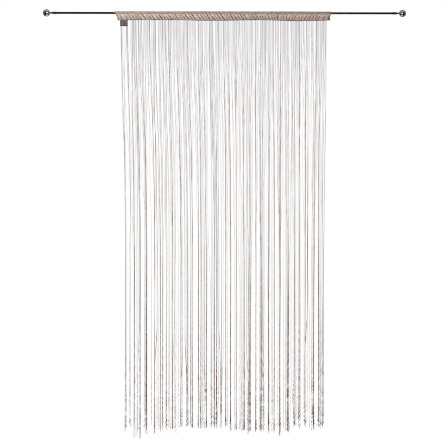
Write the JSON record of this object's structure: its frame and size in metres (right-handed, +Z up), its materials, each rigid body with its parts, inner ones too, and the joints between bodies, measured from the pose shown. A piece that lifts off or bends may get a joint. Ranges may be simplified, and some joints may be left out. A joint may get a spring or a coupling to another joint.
{
  "type": "string curtain on a curtain rod",
  "caption": "Curtain of loose hanging strings sewn into a cloth rod pocket, threaded on a straight round rod with a ball finial at each end; screens a doorway or window.",
  "frame": {"origin": "middle of the rod's axis, halfway between the two finials", "axes": "+X along the rod to the right, +Y to the back, +Z up; the strings hang towards -Z"},
  "size_m": [1.744, 0.035, 2.0487],
  "materials": {
    "rod": "dark plated steel tube, smooth",
    "finials": "polished, plated",
    "heading": "taupe woven tape, matt with a slight sheen",
    "strings": "mottled taupe, grey and brown twisted yarn",
    "label": "plain grey woven tape"
  },
  "bodies": {
    "root": {"rod": "rod", "finial_left": "finials", "finial_right": "finials", "heading": "heading", "strings": "strings", "label": "label"}
  },
  "joints": []
}
